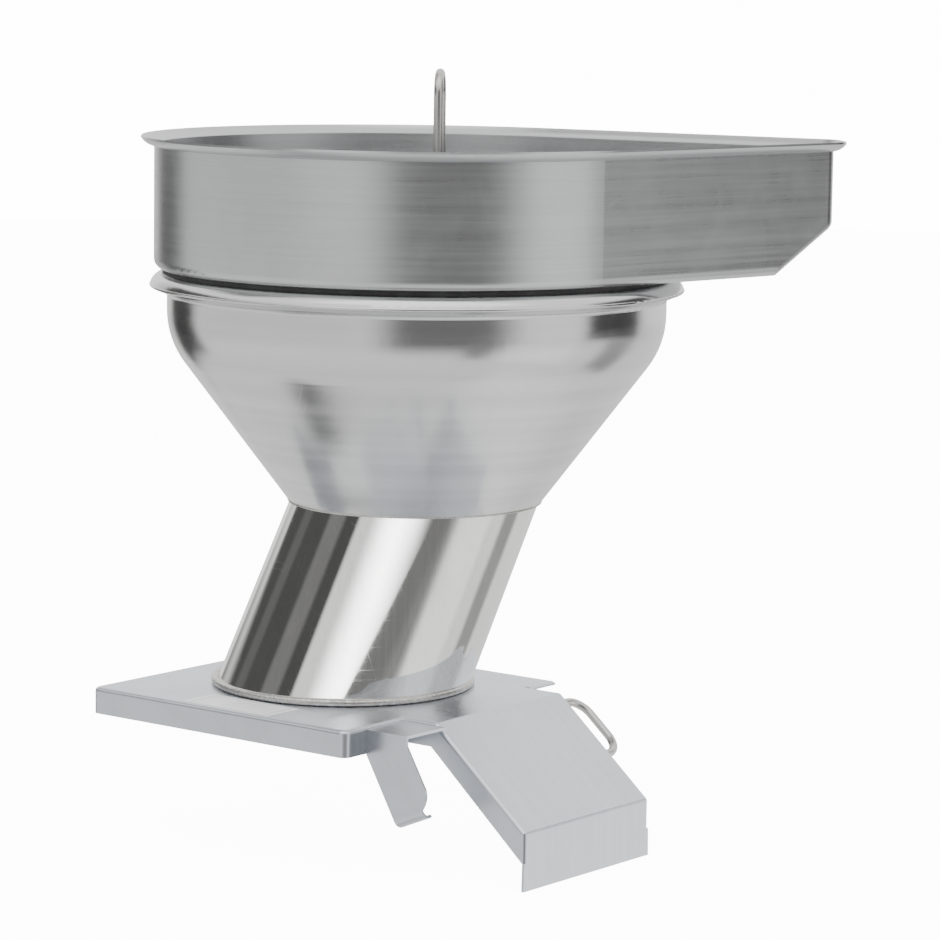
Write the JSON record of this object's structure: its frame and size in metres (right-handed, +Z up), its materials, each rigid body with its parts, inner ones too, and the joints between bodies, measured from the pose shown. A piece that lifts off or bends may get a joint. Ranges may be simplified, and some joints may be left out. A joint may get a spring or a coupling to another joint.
{
  "type": "automatic feed hopper head",
  "caption": "Stainless steel feed hopper head: teardrop loading tray over a round bowl, leaning feed tube, square cover plate with outlet hood, hairpin agitator.",
  "frame": {"origin": "on the drive axis, level with the top face of the cover plate", "axes": "+Z up along the drive axis; the plate's sides lie along X and Y; the outlet hood points to -Y; the feed tube and the tray's nose lean towards +X -Y"},
  "size_m": [0.4155, 0.4155, 0.5334],
  "materials": {
    "satin_steel": "satin-brushed stainless steel",
    "spun_steel": "spun stainless steel, semi-bright",
    "polished_steel": "mirror-polished stainless steel tube",
    "sheet_steel": "matt ground stainless steel sheet",
    "bar_steel": "drawn stainless steel round bar",
    "weld_bead": "brushed weld bead",
    "black_rubber": "food-grade rubber, matt",
    "black_plastic": "moulded plastic, fine grain",
    "bush_plastic": "natural acetal",
    "magnet_nickel": "nickel-plated magnet",
    "label_foil": "blank silvered foil",
    "screw_steel": "plain stainless steel"
  },
  "bodies": {
    "head": {"cover_plate": "sheet_steel", "outlet_hood": "sheet_steel", "feed_tube": "polished_steel", "tube_base_ring": "weld_bead", "hopper_bowl": "spun_steel", "locating_ring": "satin_steel", "seat_gasket": "black_rubber", "magnet_holder": "black_plastic", "interlock_magnet": "magnet_nickel", "magnet_bosses": "screw_steel", "magnet_screws": "screw_steel", "hinge_lugs": "satin_steel", "hinge_bushes": "bush_plastic", "rating_label": "label_foil", "latch_tab": "sheet_steel", "lifting_bow": "bar_steel"},
    "seal": {"rim_seal": "black_rubber"},
    "tray": {"loading_tray": "satin_steel", "tray_spigot": "satin_steel"},
    "agitator": {"agitator_hub": "satin_steel", "hub_set_screw": "screw_steel", "agitator_loop": "bar_steel"}
  },
  "joints": [
    {"name": "agitator_spin", "type": "hinge", "parent": "head", "child": "agitator", "pos_m": [0, 0, 0], "axis": [0, 0, 1], "continuous": true},
    {"name": "tray_swivel", "type": "hinge", "parent": "head", "child": "seal", "pos_m": [0.03465, -0.03465, 0.288], "axis": [0, 0, 1], "continuous": true},
    {"name": "tray_lift", "type": "slide", "parent": "seal", "child": "tray", "axis": [0, 0, 1], "range_m": [0, 0.165]}
  ]
}
